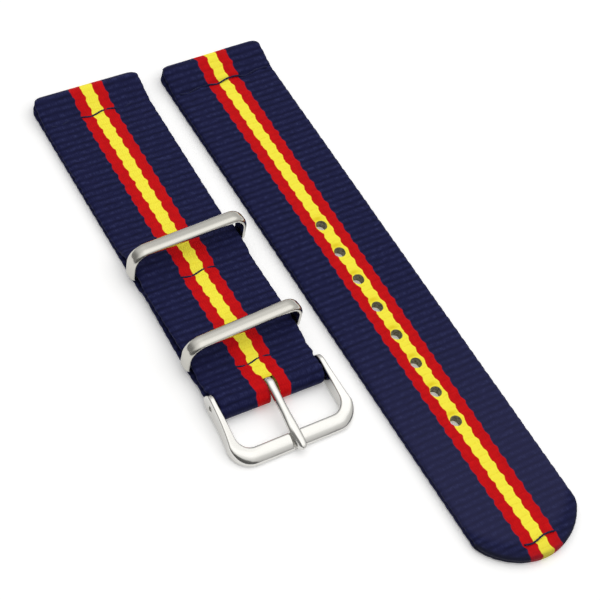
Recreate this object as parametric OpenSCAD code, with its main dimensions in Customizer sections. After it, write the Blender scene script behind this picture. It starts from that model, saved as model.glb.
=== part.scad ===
// Two-piece woven nylon watch strap with a steel tang buckle and two steel keepers.
// The buckle half runs along Y, lug end at the back; the tail half lies to its right.
// Each half is a band of two plies, folded into a sleeve at the lug end.

/* [Webbing] */
// Width of the woven band, which is the lug width that it fits
webbing_w = 22; // [18:0.5:24]
// Thickness of one ply
ply_t = 0.9; // [0.8:0.05:1.1]
// Space between the two plies where they lie together
ply_gap = 0.1; // [0.06:0.02:0.2]
// Width of the red field down the middle
red_w = 6.8; // [4:0.1:9]
// Width of the yellow line inside the red field
yellow_w = 2.3; // [1:0.1:3.5]

/* [Lug sleeves] */
// Radius of the sleeve's bore, for the bar on the watch case
lug_bore_r = 0.75; // [0.7:0.05:0.95]
// Rounding of the band's corners at the lug end, seen from above
lug_corner_r = 0.9; // [0.5:0.1:0.9]
// Distance from the lug end to the row of stitches that closes the sleeve
lug_row_at = 7.0; // [6:0.1:10]

/* [Stitching] */
// Radius of the sewing thread
thread_r = 0.2; // [0.14:0.02:0.24]
// Length of one stitch
stitch_pitch = 3.3; // [2.2:0.1:4]
// Stitches in a row across the band
stitch_count = 6; // [4:1:6]

/* [Keepers] */
// Distance from the lug end to the upper keeper
upper_keeper_at = 42.5; // [36:0.1:43]
// Distance from the upper keeper to the lower one
keeper_spacing = 20.6; // [18:0.1:21]
// Distance from each keeper to the row of stitches behind it
keeper_row_gap = 4.65; // [4.2:0.05:5]
// Width of the keeper's strip along the band
keeper_strip_w = 2.7; // [1.8:0.1:3]
// Thickness of the keeper's strip
keeper_strip_t = 1.05; // [0.8:0.05:1.2]
// Height of the keeper's opening
keeper_inner_h = 4.75; // [4.3:0.05:6]
// Outside radius of the keeper's upper corners
keeper_top_r = 3.4; // [2:0.1:3.4]
// Outside radius of the keeper's lower corners
keeper_foot_r = 1.25; // [1.22:0.01:1.3]
// Space between the band's edge and the keeper on each side
keeper_side_gap = 0.2; // [0.15:0.05:0.4]
// Angle that the keepers stand turned on the band
keeper_turn = 2.8; // [0:0.1:3]
// Angle that the keepers lean towards the lug end
keeper_lean = 5; // [0:0.5:6]
// How far a keeper shifts each way in its channel
keeper_travel = 0.8; // [0.4:0.1:1]
// Space round the keeper's lower bar in its channel
channel_gap = 0.12; // [0.1:0.01:0.2]

/* [Buckle] */
// Distance from the lug end to the buckle's bar
bar_at = 73.3; // [72.8:0.1:80]
// Height of the bar's axis over the ground
bar_z = 2.2; // [2:0.05:2.3]
// How far the fold stands off the bar towards the front
fold_slack = 0.8; // [0.5:0.05:1]
// Thickness of the arms at the bar
arm_t = 1.0; // [0.8:0.05:1.4]
// How much further out the frame reaches on each side at the front
frame_flare = 0.8; // [0:0.1:1.2]
// Radius of the arms' round rear ends
arm_lobe_r = 1.7; // [1.4:0.05:1.8]
// How far the middle of that round end lies behind the bar's axis
arm_rear = 0.8; // [0.3:0.05:1]
// Distance from the bar's axis to the front bar's inner edge
front_reach = 9.1; // [8.5:0.1:10]
// Width of the front bar
front_bar_w = 2.95; // [2.6:0.05:3.6]
// Thickness of the front bar
front_bar_t = 2.2; // [2.1:0.05:2.5]
// Rounding of the front bar's edges
bar_edge_r = 0.95; // [0.5:0.05:1]
// Outside radius of the frame's front corners
frame_outer_r = 4.4; // [3.8:0.1:5]
// Inside radius of the frame's front corners
frame_inner_r = 2.4; // [2:0.1:3]
// Depth of the groove where the tang lies on the front bar
groove_depth = 0.3; // [0.2:0.05:0.4]
// Space between the band and each arm
arm_side_gap = 0.2; // [0.15:0.05:0.3]
// How much the band is cut back on each edge between the arms
edge_relief = 0.5; // [0.4:0.05:0.8]

/* [Tang] */
// Width of the tang at its eye
tang_w = 1.9; // [1.5:0.1:2]
// Thickness of the tang
tang_t = 1.1; // [0.9:0.05:1.2]
// Outside radius of the tang's eye
tang_eye_r = 1.3; // [1.25:0.05:1.4]
// How far the tang reaches past the front bar
tang_overhang = 1; // [0.3:0.1:1.4]
// Space between the tang and the slot's sides
slot_side_gap = 0.25; // [0.2:0.05:0.4]
// Space between the tang's tip and the groove's sides
groove_side_gap = 0.25; // [0.2:0.05:0.4]
// Space between the tang's eye and the slot's end
slot_end_gap = 0.25; // [0.2:0.05:0.5]

/* [Spring bar] */
// Outside radius of the bar's tube
tube_r = 0.75; // [0.7:0.05:0.8]
// Wall of the bar's tube
tube_wall = 0.2; // [0.15:0.05:0.25]
// Running gap round the bar, its tips and its plungers
pin_gap = 0.05; // [0.03:0.01:0.07]
// Radius of the bar's tips
tip_r = 0.4; // [0.3:0.05:0.45]
// How far each tip springs in
tip_travel = 1.1; // [1.1:0.05:1.15]
// Thickness of the collar behind each tip
collar_t = 0.4; // [0.3:0.05:0.4]
// Space between each tip's collar and the arm
collar_gap = 0.15; // [0.1:0.05:0.3]
// Length of each plunger inside the tube
plunger_l = 3; // [2:0.5:5]
// Wall of the spring's sleeve of turns
spring_wall = 0.2; // [0.15:0.01:0.24]

/* [Tail half] */
// Length of the tail half from its lug end to its tip
tail_l = 120.5; // [115:0.5:130]
// Radius of the round tip
tail_tip_r = 12.3; // [11.2:0.1:14]
// Length of the tip that is sealed into one thickness
seal_l = 1.5; // [1:0.1:2]
// Distance from the tip to its row of stitches
tip_row_at = 3.2; // [3:0.1:4]
// Stitches in the tip's row
tip_stitch_count = 2; // [1:1:3]
// Radius of the adjusting holes
hole_r = 1.1; // [0.9:0.05:1.3]
// Adjusting holes
hole_count = 8; // [5:1:9]
// Distance from one hole to the next
hole_pitch = 6.65; // [5.5:0.05:7]
// Distance from the lug end to the first hole
first_hole_at = 44.8; // [40:0.1:50]
// How far the holes sit to the left of the centre line
hole_shift = 0.4; // [0:0.1:0.8]

/* [Layout] */
// Distance from the buckle half's centre line to the tail half's, at the lug ends
pair_x = 26.75; // [26:0.05:40]
// How far forward the tail half's lug end lies
pair_y = 1.0; // [0:0.1:10]
// Angle that the tail half lies turned
pair_turn = 1.2; // [0:0.05:5]

/* [Hidden] */
$fn = 64;
navy = [0.10, 0.11, 0.24];
red = [0.78, 0.05, 0.07];
yellow = [0.98, 0.90, 0.20];
steel = [0.82, 0.81, 0.77];
thread = [0.08, 0.08, 0.13];
// Reach of a cut past the faces that it opens
past = 1;

// Band
flat_h = 2 * ply_t + ply_gap;
lug_r = lug_bore_r + ply_t;
// Half the height of the slit that opens a sleeve towards the plies
mouth_h = 0.3;

// Keepers: the lower bar runs in a channel between the plies
channel_h = keeper_strip_t * cos(keeper_lean) + keeper_strip_w * sin(keeper_lean) + 2 * channel_gap;
// Half the length of that channel along the band
channel_half = (keeper_strip_w * cos(keeper_lean) + keeper_strip_t * sin(keeper_lean)) / 2
    + webbing_w / 2 * sin(keeper_turn) + keeper_travel + channel_gap;
lifted_h = flat_h - ply_gap + channel_h;
row_lift = (channel_h - ply_gap) / 2;
// Length of the slope up to the first keeper's channel
ramp_l = 2.7;
keeper_outer_w = webbing_w + 2 * (keeper_side_gap + keeper_strip_t);
keeper_outer_h = keeper_inner_h + 2 * keeper_strip_t;
// Height of the middle of the keeper's lower bar
keeper_z = ply_t + channel_h / 2;
lower_keeper_at = upper_keeper_at + keeper_spacing;
upper_row_at = upper_keeper_at + keeper_row_gap;
lower_row_at = lower_keeper_at + keeper_row_gap;

// Bar, fold and slot
bar_bore_r = tube_r + pin_gap;
fold_r = bar_bore_r + ply_t;
narrow_w = webbing_w - 2 * edge_relief;
narrow_at = bar_at - arm_rear - arm_lobe_r - arm_side_gap;
slot_w = tang_w + 2 * slot_side_gap;
slot_back = tang_eye_r + slot_end_gap;

// Width of the tang at its tip and at its waist
tang_tip_w = tang_w + 0.2;
tang_waist_w = tang_w - 0.2;
// Length of the tang's taper down to its waist, and up to its tip
tang_taper_l = 1;
tang_swell_l = 2;

// Frame
frame_inner_w = narrow_w + 2 * arm_side_gap;
frame_rear_w = frame_inner_w + 2 * arm_t;
frame_front_w = frame_rear_w + 2 * frame_flare;
front_y = front_reach + front_bar_w;
// A line just behind the arms' round ends
arms_back = arm_rear + arm_lobe_r + past;
groove_z = front_bar_t - groove_depth;
groove_w = tang_tip_w + 2 * groove_side_gap;

// Tang: it rests just over the groove's floor and slopes down from its eye
tang_seat_gap = 0.02;
tang_tip_y = front_y + tang_overhang;
tang_nose_r = tang_t / 2;

// Spring bar: its tube reaches from collar to collar with the tips pressed in
tube_l = frame_inner_w - 2 * (collar_gap + collar_t + tip_travel + pin_gap);
spring_l = tube_l - 2 * plunger_l;
tube_bore_r = tube_r - tube_wall;
plunger_r = tube_bore_r - pin_gap;
collar_x = tube_l / 2 + tip_travel + pin_gap;
tip_end_x = frame_rear_w / 2 - arm_side_gap;

// Tail
corner_rise = sqrt(tail_tip_r * tail_tip_r - webbing_w * webbing_w / 4);
corner_at = tail_l - tail_tip_r + corner_rise;

// The origin is under the middle of the pair's bounding box
x_min = -frame_front_w / 2;
x_max = pair_x + cos(pair_turn) * webbing_w / 2 + sin(pair_turn) * corner_at;
tail_back = sin(pair_turn) * (webbing_w / 2 - lug_corner_r) + (1 - cos(pair_turn)) * lug_corner_r;
y_max = max(0, tail_back - pair_y);
y_min = min(
    -bar_at - tang_tip_y,
    -pair_y - cos(pair_turn) * (tail_l - tail_tip_r) - tail_tip_r
);
origin = [(x_min + x_max) / 2, (y_min + y_max) / 2, 0];

// Where the line from p touches a circle of radius r round c; side is 1 or -1
function tangent(p, c, r, side) =
    let (
        d = norm(c - p),
        turn = atan2(c[1] - p[1], c[0] - p[0]) + side * asin(r / d)
    )
    p + sqrt(d * d - r * r) * [cos(turn), sin(turn)];

function reversed(list) = [for (i = [len(list) - 1:-1:0]) list[i]];

// A ply as seen from the side: the path and the same path moved up by t
module ply(path, t) {
    polygon(concat(path, reversed([for (p = path) p + [0, t]])));
}

// Stands a side view (Y, Z) up across the band, w wide
module across(w) {
    rotate([90, 0, 90])
        linear_extrude(w, center = true)
            children();
}

// A box from y0 forward to y1, its lower corners rounded by foot_r and its upper ones by top_r
module rounded_box(x0, x1, y0, y1, foot_r, top_r) {
    polygon([
        [x0 + foot_r, y0], [x1 - foot_r, y0], [x1, y0 + foot_r], [x1, y1 - top_r],
        [x1 - top_r, y1], [x0 + top_r, y1], [x0, y1 - top_r], [x0, y0 + foot_r]
    ]);
    for (x = [x0 + foot_r, x1 - foot_r])
        translate([x, y0 + foot_r])
            circle(foot_r);
    for (x = [x0 + top_r, x1 - top_r])
        translate([x, y1 - top_r])
            circle(top_r);
}

// A band of webbing as stripes side by side: its shape is the child, and l its length
module striped(l) {
    edges = [-webbing_w / 2 - past, -red_w / 2, -yellow_w / 2, yellow_w / 2, red_w / 2, webbing_w / 2 + past];
    colours = [navy, red, yellow, red, navy];
    for (i = [0:len(colours) - 1])
        color(colours[i])
            intersection() {
                children();
                translate([edges[i], -l - past, -past])
                    cube([edges[i + 1] - edges[i], l + 2 * past, lifted_h + 4 * past]);
            }
}

// Side view of a lug sleeve with its bore and the slit towards the plies
module sleeve() {
    difference() {
        translate([-lug_r, lug_r])
            circle(lug_r);
        sleeve_hollow();
    }
}

module sleeve_hollow() {
    translate([-lug_r, lug_r])
        circle(lug_bore_r);
    translate([-2 * lug_r, lug_r - mouth_h])
        square([lug_r, 2 * mouth_h]);
}

// Top surface of the upper ply where it comes off the sleeve
lug_top = tangent([-lug_row_at, flat_h], [-lug_r, lug_r], lug_r, 1);

// Side view of the buckle half: the lower ply, the upper ply, the sleeve and the fold round the bar
module buckle_side() {
    bar = [-bar_at, bar_z];
    lower_row = [-lower_row_at, row_lift];
    upper_row = [-upper_row_at, row_lift];
    k1 = -upper_keeper_at;
    k2 = -lower_keeper_at;
    // The loose fold touches the ground a little in front of the bar
    loose = [-bar_at - fold_slack, fold_r];
    side = fold_r * [bar_z - fold_r, fold_slack] / norm(bar - loose);
    fold_foot = tangent(lower_row, loose, fold_r, 1);
    fold_top = tangent(lower_row + [0, flat_h], bar, fold_r, -1);
    difference() {
        union() {
            sleeve();
            ply([
                [-lug_r, 0], [k1 - channel_half, 0], upper_row,
                [k2 + channel_half, 0], [k2 - channel_half, 0], lower_row, fold_foot
            ], ply_t);
            ply([
                lug_top, [-lug_row_at, flat_h],
                [k1 + channel_half + ramp_l, flat_h], [k1 + channel_half, lifted_h],
                [k1 - channel_half, lifted_h], upper_row + [0, flat_h],
                [k2 + channel_half, lifted_h], [k2 - channel_half, lifted_h],
                lower_row + [0, flat_h], fold_top
            ], -ply_t);
            polygon([bar - side, bar + side, loose + side, loose - side]);
            translate(bar)
                circle(fold_r);
            translate(loose)
                circle(fold_r);
        }
        sleeve_hollow();
        translate(bar)
            circle(bar_bore_r);
        translate(bar - [0, mouth_h])
            square([fold_r, 2 * mouth_h]);
    }
}

module buckle_plan() {
    translate([-webbing_w / 2, 0])
        mirror([0, 1])
            rounded_box(0, webbing_w, 0, narrow_at, lug_corner_r, lug_corner_r / 2);
    translate([-narrow_w / 2, -bar_at - fold_slack - fold_r - past])
        square([narrow_w, bar_at]);
}

module buckle_strap() {
    striped(bar_at + fold_slack + fold_r)
        difference() {
            intersection() {
                across(webbing_w)
                    buckle_side();
                linear_extrude(lifted_h + 4 * past, center = true)
                    buckle_plan();
            }
            translate([-slot_w / 2, -bar_at - fold_slack - 2 * fold_r, -past])
                cube([slot_w, fold_slack + 2 * fold_r + slot_back, bar_z + fold_r + 2 * past]);
        }
}

// A row of lock stitches through both plies; z is the height of the band's underside
module stitch_row(y, z, count) {
    half = count * stitch_pitch / 2;
    color(thread)
        translate([0, y, z]) {
            for (i = [0:count])
                translate([i * stitch_pitch - half, 0, thread_r])
                    cylinder(h = flat_h - thread_r, r = thread_r);
            for (level = [thread_r, flat_h])
                translate([-half, 0, level])
                    rotate([0, 90, 0])
                        cylinder(h = 2 * half, r = thread_r);
            for (x = [-half, half], level = [thread_r, flat_h])
                translate([x, 0, level])
                    sphere(thread_r);
        }
}

module buckle_lug_stitches() {
    stitch_row(-lug_row_at, 0, stitch_count);
}

module upper_keeper_stitches() {
    stitch_row(-upper_row_at, row_lift, stitch_count);
}

module lower_keeper_stitches() {
    stitch_row(-lower_row_at, row_lift, stitch_count);
}

// A keeper is a bent strip: an outer box less its opening
module keeper(at) {
    half = keeper_outer_w / 2;
    foot = -keeper_strip_t / 2;
    color(steel)
        translate([0, -at, keeper_z])
            rotate([90 - keeper_lean, 0, keeper_turn])
                linear_extrude(keeper_strip_w, center = true)
                    difference() {
                        rounded_box(-half, half, foot, foot + keeper_outer_h, keeper_foot_r, keeper_top_r);
                        rounded_box(
                            keeper_strip_t - half, half - keeper_strip_t,
                            keeper_strip_t + foot, keeper_outer_h - keeper_strip_t + foot,
                            keeper_foot_r - keeper_strip_t, keeper_top_r - keeper_strip_t
                        );
                    }
}

module upper_keeper() {
    keeper(upper_keeper_at);
}

module lower_keeper() {
    keeper(lower_keeper_at);
}

// Moves a child from the bar's axis to its place on the buckle half
module at_bar() {
    translate([0, -bar_at, bar_z])
        children();
}

module along_x(l, r) {
    rotate([0, 90, 0])
        cylinder(h = l, r = r, center = true);
}

module spring_bar_tube() {
    color(steel)
        at_bar()
            difference() {
                along_x(tube_l, tube_r);
                along_x(tube_l + 2 * past, tube_bore_r);
            }
}

// The coil spring inside the tube, as the sleeve that its turns fill
module spring_bar_spring() {
    color(steel)
        at_bar()
            difference() {
                along_x(spring_l, plunger_r - pin_gap);
                along_x(spring_l + 2 * past, plunger_r - pin_gap - spring_wall);
            }
}

// A plunger with its collar and its tip, pointing along +X
module bar_tip() {
    color(steel)
        at_bar()
            rotate([0, 90, 0]) {
                translate([0, 0, spring_l / 2])
                    cylinder(h = collar_x - spring_l / 2, r = plunger_r);
                translate([0, 0, collar_x])
                    cylinder(h = collar_t, r = tube_r);
                translate([0, 0, collar_x])
                    cylinder(h = tip_end_x - collar_x, r = tip_r);
            }
}

module right_bar_tip() {
    bar_tip();
}

module left_bar_tip() {
    mirror([1, 0, 0])
        bar_tip();
}

// Outline of the frame from above, from behind the arms' ends to the front
module frame_outline() {
    side_y = -front_y + frame_outer_r;
    corner_x = frame_front_w / 2 - frame_outer_r;
    polygon([
        [frame_rear_w / 2, arms_back], [frame_front_w / 2, side_y],
        [corner_x, -front_y], [-corner_x, -front_y],
        [-frame_front_w / 2, side_y], [-frame_rear_w / 2, arms_back]
    ]);
    for (x = [-corner_x, corner_x])
        translate([x, side_y])
            circle(frame_outer_r);
}

// Inside of the frame from above, open behind the arms
module frame_window() {
    rounded_box(
        -frame_inner_w / 2, frame_inner_w / 2,
        -front_reach, arms_back + past,
        frame_inner_r, past
    );
}

// Side view of the arms: a round end at the bar, running into the front bar
module arm_side() {
    bar_mid_y = -front_reach - front_bar_w / 2;
    top = [bar_mid_y, front_bar_t];
    foot = [bar_mid_y, 0];
    rear = [arm_rear, 0];
    translate(rear)
        circle(arm_lobe_r);
    polygon([
        foot - [0, bar_z], tangent(foot - [0, bar_z], rear, arm_lobe_r, -1),
        tangent(top - [0, bar_z], rear, arm_lobe_r, 1), top - [0, bar_z]
    ]);
}

module buckle_frame() {
    clear_w = frame_inner_w - 2 * frame_inner_r;
    color(steel)
        at_bar()
            difference() {
                union() {
                    intersection() {
                        linear_extrude(3 * arm_lobe_r, center = true)
                            difference() {
                                frame_outline();
                                frame_window();
                                translate([-clear_w / 2, -front_y - past])
                                    square([clear_w, front_y]);
                            }
                        across(frame_front_w + past)
                            arm_side();
                    }
                    intersection() {
                        linear_extrude(3 * arm_lobe_r, center = true)
                            difference() {
                                frame_outline();
                                frame_window();
                            }
                        across(frame_front_w + past)
                            rounded_box(
                                -front_y, -front_reach,
                                -bar_z, front_bar_t - bar_z,
                                bar_edge_r, bar_edge_r
                            );
                    }
                }
                along_x(frame_front_w + past, tip_r + pin_gap);
                translate([-groove_w / 2, -front_y - past, groove_z - bar_z])
                    cube([groove_w, front_bar_w + 2 * past, front_bar_t]);
            }
}

// Side view of the tang's shank, from the top of its eye to its rounded nose
module shank_side() {
    seat_z = groove_z + tang_seat_gap - bar_z;
    nose_y = tang_nose_r - tang_tip_y;
    nose_top = [nose_y, seat_z + tang_t];
    polygon([[0, seat_z], [nose_y, seat_z], nose_top, tangent(nose_top, [0, 0], tang_eye_r, 1)]);
    translate([nose_y, seat_z + tang_nose_r])
        circle(tang_nose_r);
}

// The shank from above: a little narrower behind its tip
module shank_plan() {
    eye = tang_w / 2;
    waist = tang_waist_w / 2;
    nose_r = tang_tip_w / 2;
    fold_y = -fold_slack - fold_r;
    taper_y = fold_y - tang_taper_l;
    swell_y = tang_swell_l - front_reach;
    nose_y = nose_r - tang_tip_y;
    polygon([
        [eye, 0], [eye, fold_y], [waist, taper_y], [waist, swell_y], [nose_r, -front_reach], [nose_r, nose_y],
        [-nose_r, nose_y], [-nose_r, -front_reach], [-waist, swell_y], [-waist, taper_y], [-eye, fold_y], [-eye, 0]
    ]);
    translate([0, nose_y])
        circle(nose_r);
}

module buckle_tang() {
    color(steel)
        at_bar()
            difference() {
                union() {
                    along_x(tang_w, tang_eye_r);
                    intersection() {
                        across(tang_tip_w + past)
                            shank_side();
                        linear_extrude(4 * tang_eye_r, center = true)
                            shank_plan();
                    }
                }
                along_x(tang_w + 2 * past, bar_bore_r);
            }
}

// Side view of the tail half: sleeve, two plies and the sealed tip
module tail_side() {
    difference() {
        union() {
            sleeve();
            ply([[-lug_r, 0], [-tail_l, 0]], ply_t);
            ply([lug_top, [-lug_row_at, flat_h], [-tail_l, flat_h]], -ply_t);
            translate([-tail_l, 0])
                square([seal_l, flat_h]);
        }
        sleeve_hollow();
    }
}

module tail_plan() {
    tip_centre = tail_l - tail_tip_r;
    intersection() {
        translate([-webbing_w / 2, 0])
            mirror([0, 1])
                rounded_box(0, webbing_w, 0, tail_l + past, lug_corner_r, past / 2);
        union() {
            translate([-webbing_w, -tip_centre])
                square([2 * webbing_w, tip_centre + past]);
            translate([0, -tip_centre])
                circle(tail_tip_r);
        }
    }
}

module lay_tail() {
    translate([pair_x, -pair_y, 0])
        rotate([0, 0, pair_turn])
            children();
}

module tail_strap() {
    lay_tail()
        striped(tail_l)
            difference() {
                intersection() {
                    across(webbing_w)
                        tail_side();
                    linear_extrude(lifted_h + 4 * past, center = true)
                        tail_plan();
                }
                for (i = [0:hole_count - 1])
                    translate([-hole_shift, -first_hole_at - i * hole_pitch, -past])
                        cylinder(h = flat_h + 2 * past, r = hole_r);
            }
}

module tail_lug_stitches() {
    lay_tail()
        stitch_row(-lug_row_at, 0, stitch_count);
}

module tail_tip_stitches() {
    lay_tail()
        stitch_row(-tail_l + tip_row_at, 0, tip_stitch_count);
}

translate(-origin) {
    buckle_strap();
    buckle_lug_stitches();
    upper_keeper_stitches();
    lower_keeper_stitches();
    upper_keeper();
    lower_keeper();
    spring_bar_tube();
    spring_bar_spring();
    left_bar_tip();
    right_bar_tip();
    buckle_frame();
    buckle_tang();
    tail_strap();
    tail_lug_stitches();
    tail_tip_stitches();
}
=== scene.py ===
import math
import bpy
import numpy as np
from mathutils import Matrix, Vector


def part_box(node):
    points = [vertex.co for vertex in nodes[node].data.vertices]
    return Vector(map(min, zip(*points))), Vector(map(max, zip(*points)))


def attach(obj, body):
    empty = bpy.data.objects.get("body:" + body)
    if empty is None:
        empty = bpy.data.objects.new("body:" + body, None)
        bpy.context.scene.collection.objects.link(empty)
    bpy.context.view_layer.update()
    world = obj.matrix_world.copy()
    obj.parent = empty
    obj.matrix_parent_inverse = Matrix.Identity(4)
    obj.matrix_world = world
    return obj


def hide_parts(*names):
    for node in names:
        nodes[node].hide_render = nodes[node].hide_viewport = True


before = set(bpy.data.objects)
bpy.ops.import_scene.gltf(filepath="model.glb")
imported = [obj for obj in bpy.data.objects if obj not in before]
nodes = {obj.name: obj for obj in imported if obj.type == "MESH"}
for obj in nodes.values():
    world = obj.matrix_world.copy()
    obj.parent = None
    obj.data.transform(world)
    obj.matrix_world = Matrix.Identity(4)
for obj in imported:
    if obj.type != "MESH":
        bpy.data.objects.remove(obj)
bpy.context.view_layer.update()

mm = 0.001
print("frame loaded,", len(nodes), "solids")

# everything below is laid out in mm from the buckle half: x across it, y 0 at its lug end, z 0 on the table
frameLow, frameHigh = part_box("buckle_frame")
centreX = (frameLow.x + frameHigh.x) / 2 / mm
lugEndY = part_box("buckle_strap")[1].y / mm

cameraView = {
    "place": (-141.922, -208.49, 287.361),
    "azimuth": -46.377,
    "elevation": 52.811,
    "roll": 20.162,
    "lens": 118.61,
    "sensor": 36,
    "clip": (0.01, 20),
}


def addCamera(view):
    a, e, r = (math.radians(view[k]) for k in ("azimuth", "elevation", "roll"))
    across = Vector((math.cos(a), math.sin(a), 0))
    back = Vector((math.sin(a) * math.cos(e), -math.cos(a) * math.cos(e), math.sin(e)))
    up = back.cross(across)
    right = math.cos(r) * across + math.sin(r) * up
    top = back.cross(right)
    data = bpy.data.cameras.new("camera")
    data.lens = view["lens"]
    data.sensor_width = view["sensor"]
    data.clip_start, data.clip_end = view["clip"]
    cam = bpy.data.objects.new("camera", data)
    bpy.context.scene.collection.objects.link(cam)
    place = Vector(view["place"]) + Vector((centreX, lugEndY, 0))
    cam.matrix_world = Matrix.Translation(place * mm) @ Matrix((right, top, back)).transposed().to_4x4()
    bpy.context.scene.camera = cam


addCamera(cameraView)
print("camera placed")


# node trees, written as nested calls: each argument is a value or another node's output
class Shading:
    def __init__(self, owner):
        owner.use_nodes = True
        self.owner = owner
        self.tree = owner.node_tree
        self.tree.nodes.clear()

    def feed(self, socket, value):
        if isinstance(value, bpy.types.NodeSocket):
            self.tree.links.new(value, socket)
        else:
            socket.default_value = value

    def add(self, kind, out=0, **inputs):
        made = self.tree.nodes.new("ShaderNode" + kind)
        for key, value in inputs.items():
            self.feed(made.inputs[key.replace("_", " ")], value)
        return made.outputs[out] if len(made.outputs) else None

    def uvParts(self, name):
        uv = self.tree.nodes.new("ShaderNodeUVMap")
        uv.uv_map = name
        parts = self.tree.nodes.new("ShaderNodeSeparateXYZ")
        self.feed(parts.inputs[0], uv.outputs[0])
        return uv.outputs[0], parts.outputs[0], parts.outputs[1]

    def maths(self, operation, *values):
        made = self.tree.nodes.new("ShaderNodeMath")
        made.operation = operation
        for socket, value in zip(made.inputs, values):
            self.feed(socket, value)
        return made.outputs[0]

    def cosine(self, vector, direction):
        made = self.tree.nodes.new("ShaderNodeVectorMath")
        made.operation = "DOT_PRODUCT"
        self.feed(made.inputs[0], vector)
        self.feed(made.inputs[1], direction)
        return made.outputs["Value"]

    def mix(self, share, a, b):
        made = self.tree.nodes.new("ShaderNodeMix")
        made.data_type = "RGBA"
        self.feed(made.inputs["Factor"], share)
        self.feed(made.inputs["A"], a)
        self.feed(made.inputs["B"], b)
        return made.outputs["Result"]

    def ramp(self, value, low, high, start=0.0, end=1.0):
        made = self.tree.nodes.new("ShaderNodeMapRange")
        made.interpolation_type = "SMOOTHSTEP"
        names = ("Value", "From Min", "From Max", "To Min", "To Max")
        for name, v in zip(names, (value, low, high, start, end)):
            self.feed(made.inputs[name], v)
        return made.outputs["Result"]

    def noise(self, vector, scale, detail=2.0):
        made = self.tree.nodes.new("ShaderNodeTexNoise")
        self.feed(made.inputs["Vector"], vector)
        made.inputs["Scale"].default_value = scale
        made.inputs["Detail"].default_value = detail
        return made.outputs["Fac"]

    def surface(self, bump=None, **inputs):
        shader = self.add("BsdfPrincipled", **inputs)
        if bump is not None:
            height, distance, strength = bump
            bumped = self.add("Bump", Height=height, Distance=distance, Strength=strength)
            self.feed(shader.node.inputs["Normal"], bumped)
        self.add("OutputMaterial", Surface=shader)
        return self.owner


def newMaterial(name):
    return Shading(bpy.data.materials.new(name))


webbingLook = {
    "navy": (0.0078, 0.0092, 0.050, 1),
    # a painted highlight on the ribs' tops and painted shade between them
    "navyHighlight": (0.0225, 0.0265, 0.096, 1),
    "navyShade": (0.0030, 0.0036, 0.0205, 1),
    # a painted sheen, lighter navy towards the tip
    "navyPaintedSheen": (0.032, 0.032, 0.086, 1),
    "red": (0.60, 0.003, 0.005, 1),
    # darker red for random patches, and painted shade between the ribs
    "redDarkAndShade": (0.42, 0.0, 0.004, 1),
    "yellow": (1.0, 0.885, 0.062, 1),
    # darker yellow for painted shade between the ribs, and for the yellow darkened by the holes and the slot
    "yellowDarkAndShade": (0.84, 0.66, 0.020, 1),
    "burnt": (0.0100, 0.0110, 0.030, 1),
    "redHalf": 3.42,  # mm
    "yellowHalf": 1.16,
    "step": 0.17,  # how far the stripes' edges step in and out
    "yarn": 0.44,
}


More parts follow.
